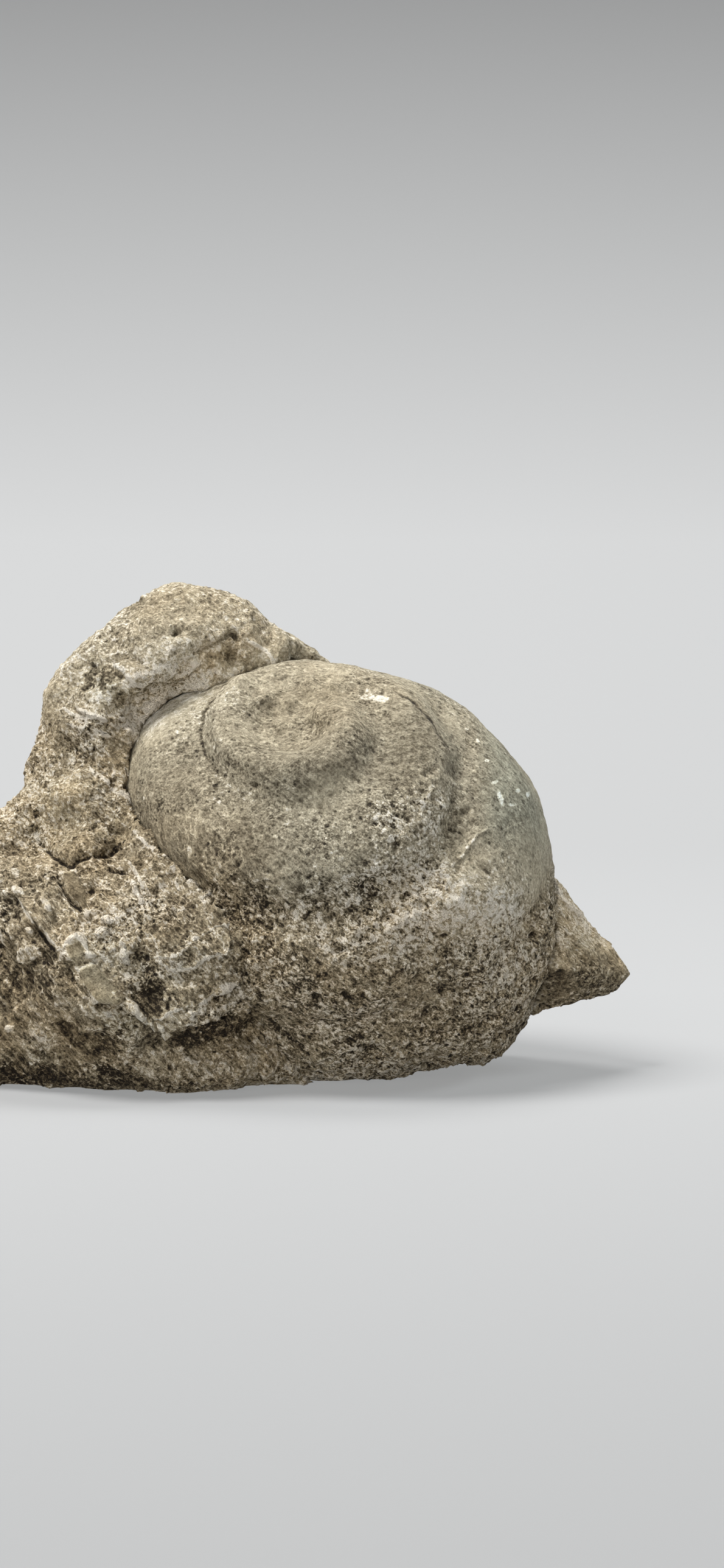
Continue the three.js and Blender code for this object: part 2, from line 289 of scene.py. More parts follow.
def fine_copy(node, name, voxel, subdivisions, smoothing):
    """A fine even mesh of a CAD node's shape."""
    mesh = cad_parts[node].data.copy()
    mesh.name = name
    mesh.materials.clear()
    obj = bpy.data.objects.new(name, mesh)
    bpy.context.scene.collection.objects.link(obj)
    weld = obj.modifiers.new("weld", "WELD")
    weld.merge_threshold = WELD_DISTANCE * MM
    if subdivisions:
        subdivide = obj.modifiers.new("subdivide", "SUBSURF")
        subdivide.levels = subdivisions
    remesh = obj.modifiers.new("remesh", "REMESH")
    remesh.mode = "VOXEL"
    remesh.voxel_size = voxel * MM * 1
    smooth = obj.modifiers.new("smooth", "SMOOTH")
    smooth.factor = 0.5
    smooth.iterations = smoothing
    apply_modifiers(obj)
    obj.data.name = name
    return obj


def apply_modifiers(obj):
    """Makes what the modifiers give the object's own mesh."""
    graph = bpy.context.evaluated_depsgraph_get()
    obj.data = bpy.data.meshes.new_from_object(obj.evaluated_get(graph))
    obj.modifiers.clear()


def normals_of(obj):
    """The vertex normals of an object, one to a row."""
    n = np.empty(len(obj.data.vertices) * 3, np.float32)
    obj.data.vertices.foreach_get("normal", n)
    return n.reshape(-1, 3).astype(float)


def set_points(obj, points):
    """Moves the vertices, kept inside the CAD model's box."""
    low, high = [np.array(corner) for corner in cad_box]
    obj.data.vertices.foreach_set("co", np.clip(points, low, high).ravel())
    obj.data.update()


def contact(obj, other, reach, chosen=None):
    """Per vertex of obj: the gap to the other piece in millimetres, the way out of it, and how squarely they face."""
    tree = BVHTree.FromObject(other, bpy.context.evaluated_depsgraph_get())
    points, normals = points_of(obj), normals_of(obj)
    gap, out = np.full(len(points), np.inf), np.zeros((len(points), 3))
    for i in range(len(points)) if chosen is None else np.nonzero(chosen)[0]:
        point = points[i]
        near, normal, _, _ = tree.find_nearest(point, reach * MM)
        if near is not None:
            out[i] = normal
            gap[i] = (point - near) @ out[i] / MM
    return gap, out, -(out * normals).sum(1)


def drop_scraps(obj):
    """Keeps the one large shell, without the loose scraps that the remesh and the thinning leave."""
    shell = bmesh.new()
    shell.from_mesh(obj.data)
    groups, left = [], set(shell.verts)
    while left:
        fresh = [left.pop()]
        group = list(fresh)
        while fresh:
            vertex = fresh.pop()
            joined = {edge.other_vert(vertex) for edge in vertex.link_edges} & left
            left -= joined
            fresh.extend(joined)
            group.extend(joined)
        groups.append(group)
    groups.sort(key=len)
    bmesh.ops.delete(shell, geom=sum(groups[:-1], []), context="VERTS")
    shell.to_mesh(obj.data)
    shell.free()
    obj.data.validate()


def lighten(obj, other):
    """Drops triangles down to MOST_TRIANGLES, first where the other piece hides the mesh, then out of view."""
    gap, _, facing = contact(obj, other, HIDDEN_GAP + 0.1)
    hidden = (gap < HIDDEN_GAP) & (facing > 0.5)
    unseen = ~hidden & (Surface(obj).seen < 0.5)
    group = obj.vertex_groups.new(name="thinned")
    group.add(np.nonzero(unseen)[0].tolist(), UNSEEN_THINNING, "REPLACE")
    group.add(np.nonzero(hidden)[0].tolist(), HIDDEN_THINNING, "REPLACE")
    obj.data.calc_loop_triangles()
    thin = obj.modifiers.new("thin", "DECIMATE")
    thin.ratio = min(1.0, MOST_TRIANGLES / len(obj.data.loop_triangles))
    thin.vertex_group = "thinned"
    apply_modifiers(obj)
    obj.vertex_groups.clear()
    drop_scraps(obj)
    set_points(obj, points_of(obj))  # thinning can push a corner out of the box


LINE_REACH = 24.0  # pixels each side of a drawn line that its masks cover


class Surface:
    """What the relief and the masks of one piece are worked out from, per vertex."""

    def __init__(self, obj):
        self.obj = obj
        self.points = points_of(obj)
        self.normals = normals_of(obj)
        self.p = self.points / MM
        self.uv = to_pixels(to_face(self.points))
        towards = self.normals @ lean_matrix()
        self.seen = step(-towards[:, 1], 0.0, 0.35)  # 1 where the surface faces the camera, 0 where it faces away
        self.wobble = np.stack([noise(self.p, 3.5, 71), noise(self.p, 3.5, 72)], 1)
        self.wavy = self.uv + 2 * self.wobble  # places for lines that run a little unevenly
        self.along = self.p @ np.array([math.cos(STREAK_TURN), 0, -math.sin(STREAK_TURN)])
        self.on_base = step(-self.normals[:, 2], 0.9, 0.98) * fall(self.p[:, 2], 0.2, 0.8)

    def drawn_out(self, times):
        """The points with lengths along the streaks shrunk, so that noise on them is drawn out along the streaks."""
        across = self.p @ np.array([math.sin(STREAK_TURN), 0, math.cos(STREAK_TURN)])
        return np.stack([across, self.p[:, 1], self.along / times], 1)

    def weighted(self, places):
        """The sum of soft spots on the exposed face, each of which ends with its own strength."""
        return self.seen * sum(strength * spot(self.uv, *place) for *place, strength in places)

    def raise_by(self, relief):
        """Moves the surface out by some millimetres."""
        set_points(self.obj, self.points + self.normals * (relief * MM)[:, None])

    def store(self, **masks):
        """Keeps masks from 0 to 1 in the mesh, where the material finds them by name."""
        for name, values in masks.items():
            layer = self.obj.data.attributes.new(name, "FLOAT", "POINT")
            layer.data.foreach_set("value", np.clip(values, 0, 1).astype(np.float32))

    def store_lines(self, name, lines, strength):
        """Two masks for thin lines: the signed distance across the nearest one, and how near it is."""
        found = [line_distance(self.wavy, line) for line in lines]
        distance = np.array([distance for distance, _ in found])
        nearest = distance.argmin(0), np.arange(len(self.uv))
        side = np.array([side for _, side in found])[nearest]
        distance = np.minimum(distance[nearest], LINE_REACH) / LINE_REACH
        masks = {"_side": 0.5 + 0.5 * side * distance, "_near": strength * self.seen * (1 - distance)}
        self.store(**{name + ending: values for ending, values in masks.items()})


# ---- Broad tones of the exposed face: painted light and shade, with some of the stone's own tone ----
# Each spot ends with how much lighter (above 0) or darker it makes the stone, mostly as painted light on lit features
# and painted shade on shaded ones. It sits on the feature named beside it.
# The numbers were set one by one and corrected against the mean tones of renders and of the photograph.
PAINTED_LIGHT_SHADE_AND_TONE_PLACES = [
    # The mould
    (500, 1175, 130, 65, 10, -0.11),  # the apex hollow
    (682, 1235, 58, 88, 5, -0.26),  # the first whorl's right flank
    (490, 1256, 180, 34, 0, -0.13),  # the first whorl's lower flank
    (280, 1300, 50, 80, 0, -0.1),  # the flank by the parting crack
    (420, 1368, 160, 40, 0, -0.07),  # above the second suture
    (390, 1395, 120, 45, 10, -0.19),  # the second suture's left end
    (715, 1350, 60, 75, 0, 0.25),  # the torn suture
    (600, 1450, 90, 40, -10, 0.15),  # the torn suture's lower end
    (800, 1300, 45, 100, 0, -0.16),  # the smooth cheek
    (852, 1395, 45, 80, 0, -0.08),  # the cheek's foot
    (400, 1465, 100, 35, 10, 0.12),  # the left end of the last whorl's shoulder
    (710, 1502, 160, 58, -12, 0.3),  # the last whorl's shoulder
    (822, 1545, 58, 110, 0, 0.18),  # the last whorl's right edge
    (600, 1755, 160, 30, -8, 0.16),  # the foot of the last whorl
    # The lobe and the recess
    (250, 1010, 150, 60, -10, -0.15),  # the lobe's top
    (145, 1115, 50, 40, 0, 0.11),  # the lobe's left flank
    (86, 1165, 26, 30, 0, -0.12),  # the edge below the lobe
    (85, 1262, 30, 26, 0, -0.1),  # the edge of the neck
    (292, 1120, 90, 54, -25, 0.34),  # the recess under the lobe
    (232, 1176, 34, 34, 0, 0.32),  # the recess's foot, by the parting crack
    # The plateau and the broken shelf
    (190, 1420, 120, 60, 10, -0.21),  # the plateau
    (40, 1470, 75, 50, 40, -0.2),  # the plateau's left end
    (300, 1520, 60, 42, 0, -0.26),  # the hollow beside the last whorl
    (80, 1622, 60, 28, 20, -0.12),  # under the broken edge
    (15, 1665, 50, 40, 0, -0.22),  # the same, at the frame's edge
    (310, 1640, 50, 40, 0, -0.12),  # above the ledge
    (192, 1672, 60, 28, 30, 0.23),  # the step between the broken edge and the ledge
    (218, 1708, 64, 28, 6, 0.18),  # the step's foot
    (300, 1715, 80, 20, 6, -0.14),  # below the ledge
    (80, 1765, 150, 22, 3, -0.2),  # the lower edge
    # The pointed corner
    (975, 1512, 55, 28, 35, 0.14),  # its lit top
    (988, 1592, 60, 36, 0, -0.22),  # its underside
]


def shade(s):
    """Broad tones that both pieces share, mostly painted light and shade, 0.5 where nothing is lighter or darker."""
    return 0.5 + s.weighted(PAINTED_LIGHT_SHADE_AND_TONE_PLACES)


# ---- The mould ----
PARTING_CRACK = [
    (254, 1178), (249, 1197), (239, 1212), (230, 1233), (221, 1256), (217, 1280), (219, 1300), (225, 1325),
    (236, 1343),
]
FIRST_SUTURE_CRACK = [
    (380, 1109), (368, 1124), (354, 1141), (343, 1155), (335, 1172), (331, 1194), (330, 1214), (334, 1232),
    (343, 1251), (357, 1268),
]
SECOND_SUTURE_LINE = [(650, 1134), (672, 1146), (694, 1164), (712, 1184), (722, 1206), (738, 1226)]
SECOND_SUTURE_ROUGH = [
    (752, 1268), (752, 1300), (742, 1345), (716, 1400), (690, 1440), (640, 1464), (570, 1482), (500, 1490),
    (430, 1478), (380, 1455),
]
BODY_CRACKS = [
    [(446, 1675), (460, 1691), (477, 1705), (497, 1722), (507, 1734)],
    [(775, 1412), (788, 1422), (802, 1433)],
]
HAIRLINE = [(800, 1363), (784, 1371), (769, 1391), (757, 1409), (742, 1422)]
SCRATCHES = [
    [(288, 1340), (315, 1342), (340, 1352)],
    [(318, 1338), (345, 1352), (370, 1382)],
    [(352, 1272), (368, 1284), (378, 1292)],
    [(610, 1420), (640, 1408), (668, 1398)],
]
WHORL_SHOULDER = [(540, 1545), (620, 1525), (700, 1497), (770, 1475), (830, 1470)]
BOWL_LUMPS = [
    (430, 1150, 22, 10, -20), (512, 1128, 12, 14), (545, 1130, 14, 8), (398, 1120, 16, 8), (470, 1195, 26, 14),
    (525, 1175, 12, 16, 30), (478, 1152, 16, 10),
]
BOWL_PITS = [(500, 1150, 10, 7), (538, 1150, 7), (520, 1192, 9, 6), (452, 1176, 10, 6)]
SHELL_PATCHES = [
    (604, 1144, 13, 7), (630, 1147, 10, 6), (822, 1312, 5, 13, -20), (312, 1398, 4, 10), (812, 1286, 7, 3, -20),
    (800, 1250, 4, 3), (786, 1216, 4, 5, -20), (850, 1300, 4, 4), (842, 1322, 9, 3), (866, 1306, 3, 5),
    (768, 1196, 5, 3), (286, 1146, 6, 3), (280, 1128, 3, 4),
]
BODY_PITS = [
    (609, 1730, 18, 13), (620, 1590, 9), (600, 1625, 14, 9), (765, 1655, 14, 9), (690, 1610, 10),
    (560, 1560, 12, 6),
]
TORN_SUTURE = [(715, 1340, 55, 80, -15, 1), (650, 1450, 100, 28, -12, 1)]
ROUGHER_PLACES = [
    (520, 1365, 180, 60, 0, 0.22),  # the band above the second suture
    (340, 1400, 110, 70, 0, -0.25),  # the scratched place at its left end
    (670, 1320, 60, 50, 0, -0.15),  # beside the torn suture
    (480, 1170, 130, 80, 0, -0.15),  # the apex hollow
]
YELLOW_PLACE = (500, 1165, 120, 66)
STREAKED_PLACE = (340, 1390, 90, 60)
THREADED_PLACE = (340, 1390, 110, 60)
# Heights and widths in pixels over which one kind of surface passes into another
LAST_WHORL_TOP = (1470, 1640)
LAST_WHORL_TILT = 0.12  # pixels that this boundary rises for each one to the right
LAST_WHORL_WANDER = 110
CHEEK_SIDE, CHEEK_FOOT = (770, 830), (1320, 1430)
UNDER_SUTURE_TOP, UNDER_SUTURE_FOOT, UNDER_SUTURE_SIDE = (1350, 1460), (1530, 1600), (600, 700)
WARM_FLANK_SIDE, WARM_FLANK_TOP = (300, 480), (1200, 1400)
RISING_FOOT = (1200, 1400)
STRONG_CRACKS_TOP = (1500, 1600)


def make_mould():
    """The snail's mould: a worn, smooth upper part and a rough last whorl, with the sutures between."""
    obj = fine_copy("gastropod", "fossil_gastropod", MOULD_VOXEL, subdivisions=2, smoothing=4)
    s = Surface(obj)
    u, v = s.uv.T

    # How rough the stone is: least on the smooth cheek, and most on the last whorl and along the torn suture
    body = step(v + LAST_WHORL_TILT * u + LAST_WHORL_WANDER * noise(s.p, 22, 48), *LAST_WHORL_TOP)
    torn_suture = s.weighted(TORN_SUTURE)
    cheek = s.seen * step(u, *CHEEK_SIDE) * fall(v, *CHEEK_FOOT)
    under_suture = s.seen * fall(u, *UNDER_SUTURE_SIDE)
    under_suture *= step(v, *UNDER_SUTURE_TOP) * fall(v + 0.1 * u, *UNDER_SUTURE_FOOT)
    rough = 0.25 + 0.6 * body + 0.5 * torn_suture + 0.15 * under_suture - 0.6 * cheek + 0.25 * noise(s.p, 14, 6)
    rough = np.clip(rough + s.weighted(ROUGHER_PLACES), 0.06, 1)

    # Texture all round
    fine = fractal(s.p, 1.8, 3, 11, 0.65)
    lumpy = fractal(s.p, 5, 3, 2)
    torn = ridged(s.p, 3.6, 3, 21, 0.6) - 0.55
    clumps = fractal(s.drawn_out(2.2), 9, 3, 47, 0.7)
    swells = body * fractal(s.drawn_out(1.5), 11, 3, 50, 0.6)
    pitted = pits(s.p + 0.8 * noise(s.p, 2, 14)[:, None], 2.4, 0.5, 5)
    holes = pits(s.p, 1.25, 0.4, 9)

    # Features of the exposed face
    crack = s.seen * groove(s.uv, FIRST_SUTURE_CRACK, 5) * step(noise(s.p, 1.6, 40), -0.45, 0.1)
    crack = np.maximum(crack, s.seen * grooves(s.wavy, BODY_CRACKS, 6))
    second = s.seen * groove(s.uv, SECOND_SUTURE_LINE, 4)
    worn = s.seen * groove(s.uv, SECOND_SUTURE_ROUGH, 20) * step(noise(s.p, 4, 43) + 0.4 * fine, -0.5, 0.35)
    hair = s.seen * groove(s.uv, HAIRLINE, 4)
    shoulder = s.seen * groove(s.uv, WHORL_SHOULDER, 45)
    bowl = s.seen * (0.9 * spots(s.uv, BOWL_LUMPS) - 0.4 * spots(s.uv, BOWL_PITS))
    dents = s.seen * spots(s.uv, BODY_PITS)

    # The relief in millimetres
    relief = 0.4 * fractal(s.p, 17, 2, 1) + (0.2 + 0.35 * rough) * lumpy + (0.12 + 0.4 * rough) * fine
    relief += 1.3 * rough**2 * torn - 0.4 * rough * clumps + 1.7 * swells * (1 - s.on_base)
    relief -= (0.08 + 0.55 * rough) * pitted + (0.06 + 0.3 * rough) * holes
    relief += bowl + 0.9 * shoulder + 0.35 * hair - 0.25 * crack - 0.22 * second - 0.6 * worn - 1.0 * dents
    s.raise_by(relief * (1 - 0.8 * s.on_base))

    # Masks for the material. dark is darker in pits and dents, is painted shade under the second suture, and is
    # lighter as painted light on the shoulder, the swells and the bowl's lumps; grey on the cheek is partly a painted
    # cool reflection.
    dark = 0.1 * (crack + second + under_suture - torn_suture) + 0.3 * worn + 0.35 * dents - 0.25 * shoulder
    dark += rough * (1.0 * pitted + 0.8 * holes + 0.8 * clumps - 0.35 * torn)
    dark -= 0.3 * fine + 0.25 * lumpy + 0.65 * swells + 0.3 * np.maximum(bowl, 0)
    warm_flank = s.seen * fall(u, *WARM_FLANK_SIDE) * step(v, *WARM_FLANK_TOP)
    yellow = s.seen * spot(s.uv, *YELLOW_PLACE)
    warm = 0.02 + 0.62 * body + 0.25 * rough + 0.35 * warm_flank + 0.3 * yellow + 0.25 * noise(s.p, 20, 77)
    s.store(
        dark=dark,
        pale=s.seen * spots(s.uv, SHELL_PATCHES) + 0.4 * hair + 0.5 * step(fine, 0.25, 0.7) * rough,
        rough=rough + 0.4 * noise(s.p, 7, 23),
        shade=shade(s) + 0.02 - 0.02 * body - 0.15 * rough * clumps - 0.15 * swells,
        streak=0.15 + 0.25 * s.seen * spot(s.uv, *STREAKED_PLACE) + 0.3 * body,
        rising=0.3 * fall(v, *RISING_FOOT),
        thread=0.6 * s.seen * spot(s.uv, *THREADED_PLACE),
        warm=warm,
        grey=0.1 + 0.8 * cheek - 0.4 * rough - 0.6 * yellow + 0.2 * noise(s.p, 24, 79),
    )
    faint = 0.62 + 0.2 * step(v, *STRONG_CRACKS_TOP) + 0.16 * noise(s.p, 2.2, 46)
    s.store_lines("crack", [FIRST_SUTURE_CRACK, SECOND_SUTURE_LINE, *BODY_CRACKS], faint)
    s.store_lines("vein", [HAIRLINE, *SCRATCHES], 0.6)
    return obj


# ---- The matrix ----
MATRIX_CRACKS = [
    [
        (65, 1383), (87, 1405), (105, 1417), (120, 1421), (127, 1412), (156, 1406), (171, 1406), (182, 1397),
        (198, 1386),
    ],
    [(98, 1446), (108, 1462), (120, 1481), (135, 1495)],
    [(182, 1428), (195, 1434), (211, 1433)],
    [(188, 1087), (200, 1080), (214, 1079), (229, 1088)],
    [(323, 1074), (345, 1062), (380, 1043)],
    [(60, 1520), (78, 1545), (92, 1556)],
    [(222, 1640), (240, 1662), (262, 1690)],
    [(216, 1262), (222, 1290), (234, 1318)],
]
MATRIX_VEINS = [
    [(908, 1452), (925, 1478), (948, 1496), (975, 1512)],
    [(262, 1668), (300, 1652), (345, 1640), (372, 1628)],
    [(232, 1378), (246, 1392), (268, 1412), (290, 1420)],
    [(150, 1262), (190, 1300), (236, 1322)],
    [(262, 1577), (295, 1565), (316, 1543), (349, 1525), (380, 1518)],
    [(258, 1566), (268, 1583), (284, 1591), (313, 1590), (338, 1577), (364, 1568)],
    [(413, 1054), (430, 1066), (447, 1081)],
    [(190, 1092), (206, 1103), (222, 1121)],
    [(112, 1166), (138, 1180), (160, 1176), (188, 1192)],
    [(120, 1190), (150, 1194), (176, 1208)],
    [(216, 1420), (232, 1452), (246, 1500)],
    [(110, 1548), (122, 1541), (136, 1546), (143, 1558)],
    [(33, 1482), (62, 1522), (98, 1558)],
    [(150, 1040), (170, 1022), (196, 1010)],
    [(185, 1000), (210, 985), (240, 980)],
]
MATRIX_HOLES = [
    (231, 1572, 12, 16, 20), (240, 1592, 9, 14), (254, 1635, 18, 24, 20), (290, 1041, 10, 5, -20), (388, 1042, 6),
    (390, 1052, 5), (172, 1655, 14, 8), (20, 1505, 14), (78, 1575, 6, 16, -30), (345, 1642, 10, 5),
    (198, 1656, 12, 6), (145, 1715, 26, 8, 20), (100, 1690, 14, 8), (355, 1648, 8, 5),
]
MATRIX_FLAKES = [
    (118, 1543, 14, 6, -20), (137, 1547, 9, 6, 20), (150, 1568, 12, 7, 15), (168, 1532, 16, 10, -10),
    (205, 1568, 8, 24, -20), (52, 1566, 18, 12), (40, 1575, 12, 7), (98, 1650, 8, 4), (45, 1528, 7),
    (167, 1112, 6, 9), (262, 1688, 22, 6, 28), (115, 1320, 4), (28, 1440, 6, 4), (30, 1465, 14, 8, 40),
    (285, 1434, 5), (197, 1180, 9, 4, 30), (140, 1170, 14, 5, 25), (165, 1182, 14, 5, 20), (206, 1200, 7, 9),
    (140, 1500, 12, 6, 50),
    (180, 1512, 12, 5), (310, 1402, 6, 12), (78, 1490, 20, 5, 50), (365, 1632, 14, 8), (405, 1508, 8, 5),
    (18, 1690, 16, 6, -30), (225, 1470, 5, 30, -25), (270, 1640, 8, 5), (320, 1660, 24, 6, -12),
]
MATRIX_PLATES = [
    [(99, 1436), (122, 1432), (144, 1465), (140, 1484), (124, 1478)],
    [(107, 1553), (128, 1545), (139, 1562), (134, 1582), (118, 1581)],
    [(128, 1592), (150, 1584), (172, 1600), (203, 1640), (192, 1650), (163, 1643), (138, 1618)],
]
BREAK_EDGE = [
    (0, 1455), (33, 1478), (62, 1518), (98, 1556), (124, 1597), (158, 1643), (204, 1655), (236, 1682), (268, 1694),
]
LEDGE_EDGE = [(228, 1678), (268, 1694), (291, 1688), (313, 1680), (345, 1671), (380, 1668), (418, 1657)]
RECESS_EDGE = [(210, 1140), (240, 1120), (270, 1117), (300, 1112), (322, 1100)]
LOWER_SEAM = [(251, 1365), (276, 1408), (309, 1430), (345, 1452), (400, 1500)]
BARE_SEAM = [(280, 1152), (312, 1128), (342, 1108)]  # where the shadowed slot over the mould starts
BROWN_PLACES = [
    (370, 1076, 50, 26, -20), (170, 1290, 70, 50), (60, 1340, 50, 40), (280, 1128, 75, 28, -30),
    (215, 1215, 30, 50),
]
GREY_PLACES = [(170, 1130, 50, 30), (220, 1680, 60, 20), (150, 1560, 60, 50), (60, 1740, 60, 14)]
# Painted shade, with some dark stone: below the ledge and the broken edge, along the lower edge, by the shell's edge
# and in the lobe's recess.
PAINTED_SHADE_AND_DARK_STONE_PLACES = [
    (40, 1590, 50, 60, 40), (205, 1155, 18, 9), (262, 1635, 34, 30, 20), (340, 1700, 70, 22, -8),
    (300, 1565, 36, 24), (110, 1700, 60, 16, 30), (50, 1768, 120, 16, 4), (200, 1775, 90, 10, 4),
    (370, 1080, 34, 16, -20),
]
# Painted light, with some pale stone: the lobe's top, the neck, the plateau and the lower lip.
PAINTED_LIGHT_AND_PALE_STONE_PLACES = [
    (120, 1340, 60, 50), (190, 1450, 60, 50), (230, 990, 80, 40), (240, 1250, 60, 60), (330, 1750, 110, 22),
    (60, 1690, 60, 40),
]
BLOTCHED_PLACES = [(170, 1120, 48, 30), (215, 1128, 30, 18), (255, 1640, 30, 28, 20)]
THREADED_PLACES = [
    (180, 1172, 80, 26, 10), (190, 1480, 150, 80), (290, 1560, 110, 60), (150, 1030, 110, 50, -30),
    (190, 1600, 80, 60),
]
JOINED_PLACE = (415, 1590, 45, 110)  # where the matrix runs smoothly into the last whorl
FEATHERED_PLACE = (410, 1590, 60, 120)
RECESS_PLACE = (270, 1135, 80, 34, -30)
# Heights and widths in pixels over which one kind of surface passes into another
LOBE_FOOT = (1120, 1210)
CORNER_SIDE = (880, 915)
STREAKED_TOP = (1380, 1460)


def make_matrix(mould):
    """The lump round the mould: broken, shelly stone with a calmer lobe, some thin plates and ragged ledges."""
    obj = fine_copy("matrix", "limestone_matrix", MATRIX_VOXEL, subdivisions=0, smoothing=4)
    s = Surface(obj)
    u, v = s.uv.T
    uv = s.uv + 5 * s.wobble
    ragged = s.uv + 6 * s.wobble + 9 * np.stack([noise(s.p, 9, 73), noise(s.p, 9, 74)], 1)
    facing_down = -s.normals[:, 2]

    # Parts of the lump
    lobe = fall(v, *LOBE_FOOT)
    corner = step(u, *CORNER_SIDE)
    joined = s.seen * spot(s.uv, *JOINED_PLACE)
    recess = s.seen * spot(s.uv, *RECESS_PLACE)

    # Texture all round
    fine = fractal(s.p, 1.6, 3, 31, 0.65)
    broken = fractal(s.p + 2.0 * fine[:, None], 7, 3, 33)
    chips = facets(s.p, 5.2, 100) - 0.35 + 0.45 * (facets(s.p, 2.3, 120) - 0.35)
    shards = ridged(s.p + 1.5 * fine[:, None], 5.5, 4, 61, 0.65) - 0.5
    drawn = s.drawn_out(9)
    lines = noise(drawn, 2.2, 64) + 0.6 * noise(drawn, 1.1, 65)
    texture = (1 - 0.55 * lobe) * (0.6 * chips + 1.5 * shards) + 0.6 * ledges(broken, 5)
    texture += 0.3 * fine + 0.35 * lines - 0.35 * pits(s.p, 1.9, 0.4, 51)

    # Features of the exposed face
    plates = s.seen * np.max([inside(uv, plate) for plate in MATRIX_PLATES], axis=0)
    plate_edges = s.seen * grooves(uv, [plate[:2] for plate in MATRIX_PLATES], 5)
    cracks = s.seen * grooves(s.wavy, MATRIX_CRACKS, 5)
    holes = s.seen * spots(uv, MATRIX_HOLES)
    veins = s.seen * grooves(s.wavy, MATRIX_VEINS, 5)
    flakes = s.seen * step(spots(uv, MATRIX_FLAKES) + 0.35 * fine, 0.35, 0.65)
    break_lip, break_recess = shelf(ragged, BREAK_EDGE, 14, 60)
    ledge_lip, ledge_recess = shelf(ragged, LEDGE_EDGE, 16, 32)
    recess_lip, recess_recess = shelf(ragged, RECESS_EDGE, 10, 22)
    lips = s.seen * (0.5 * break_lip + 0.4 * ledge_lip + 0.4 * recess_lip)
    drops = s.seen * (0.8 * break_recess + 1.3 * ledge_recess + 0.6 * recess_recess)

    # The relief in millimetres
    relief = texture * (1 - 0.9 * plates) + 0.6 * plates + lips - drops + s.seen * groove(s.uv, LOWER_SEAM, 30)
    relief += 0.6 * flakes + 0.35 * veins - 0.9 * cracks - 1.2 * holes
    s.raise_by(relief * (1 - 0.85 * s.on_base) * (1 - 0.4 * corner) * (1 - 0.5 * joined))
    feather(obj, mould, s.seen * np.clip(1.6 * spot(s.uv, *FEATHERED_PLACE), 0, 1))
    seal(obj, mould)

    # Masks for the material. dark is darker on low relief and in holes, and is painted shade in the recesses under
    # the ledges, on faces that turn down and under the pointed corner; pale is partly a painted highlight on the lips
    # of the ledges and on the ridges.
    blotched = s.seen * spots(s.uv, BLOTCHED_PLACES) * step(fractal(s.p, 2.0, 3, 49, 0.8), -0.04, 0.14)
    dark = -0.5 * texture * (1 - plates) + 1.0 * blotched + 0.75 * holes + 0.5 * drops
    dark += s.seen * (0.55 * spots(uv, PAINTED_SHADE_AND_DARK_STONE_PLACES) - 0.3 * spots(uv, PAINTED_LIGHT_AND_PALE_STONE_PLACES))
    # Painted shade on faces that turn down, more under the pointed corner
    dark = dark * (1 - 0.5 * corner) + 0.35 * step(facing_down, 0.25, 0.8)
    dark += 0.25 * corner * step(facing_down, -0.1, 0.2)
    # Painted highlight on the lips of the ledges and on the ridges, with the flakes' and plate edges' own pale colour
    pale = 0.95 * flakes + 0.7 * plate_edges + 0.5 * lips
    pale += 0.4 * step(shards, 0.2, 0.42) + 0.3 * step(lines, 0.3, 0.9)
    streak = (0.35 + 0.65 * s.seen * step(v, *STREAKED_TOP)) * (1 - plates)
    s.store(
        dark=dark,
        pale=pale,
        rough=(0.55 + 0.45 * noise(s.p, 8, 24)) * (1 - plates) * (1 - 0.35 * lobe) + 0.35 * recess,
        shade=shade(s) - 0.12 * joined - 0.3 * plates - 0.12 * blotched,
        streak=streak * (1 - 0.7 * lobe) * (1 - 0.75 * corner),
        rising=0.45 * lobe,
        thread=(0.15 + s.seen * spots(s.uv, THREADED_PLACES)) * (1 - 0.8 * plates),
        warm=0.88 - 0.42 * lobe + 0.4 * noise(s.p, 18, 78) + 0.6 * s.seen * spots(s.uv, BROWN_PLACES),
        grey=0.35 * plates + 0.3 * noise(s.p, 22, 80) + 0.3 * s.seen * spots(s.uv, GREY_PLACES),
    )
    s.store_lines("crack", MATRIX_CRACKS, 1 - 0.38 * lobe)
    s.store_lines("vein", MATRIX_VEINS, 1.0)
    return obj


# How the matrix meets the mould, in millimetres
FEATHER_REACH = 6.0
SEAM_REACH = 2.5
SEAM_SINK = 0.15  # how far the rim goes into the mould, so that no light shows through the seam


def feather(obj, mould, share):
    """Thins the matrix down to the mould where share is above 0, so that its rim there doesn't stand out."""
    gap, out, _ = contact(obj, mould, FEATHER_REACH, share > 0.02)
    gap = np.where(gap < FEATHER_REACH, gap, 0)
    pull = share * (gap * fall(gap, 0, FEATHER_REACH) + 0.5 * fall(gap, 0, 1.5))
    set_points(obj, points_of(obj) - out * (pull * MM)[:, None])


def seal(obj, mould):
    """Draws the rim of the socket in to the mould, and leaves a thin gap along the open parting crack."""
    points = points_of(obj)
    gap, out, facing = contact(obj, mould, SEAM_REACH + 0.1)
    uv = to_pixels(to_face(points))
    wanted = -SEAM_SINK + 0.5 * groove(uv, PARTING_CRACK, 12) + 0.5 * groove(uv, BARE_SEAM, 14)
    pull = np.where(gap < SEAM_REACH, gap - wanted, 0) * fall(gap, 0.8, 2.2) * step(facing, 0.1, 0.7)
    set_points(obj, points - out * (pull * MM)[:, None])


# ---- Materials ----
def linear(r, g, b):
    """An 8-bit sRGB colour as linear light."""
    return tuple((c / 255 / 12.92) if c <= 10 else ((c / 255 + 0.055) / 1.055) ** 2.4 for c in (r, g, b)) + (1.0,)


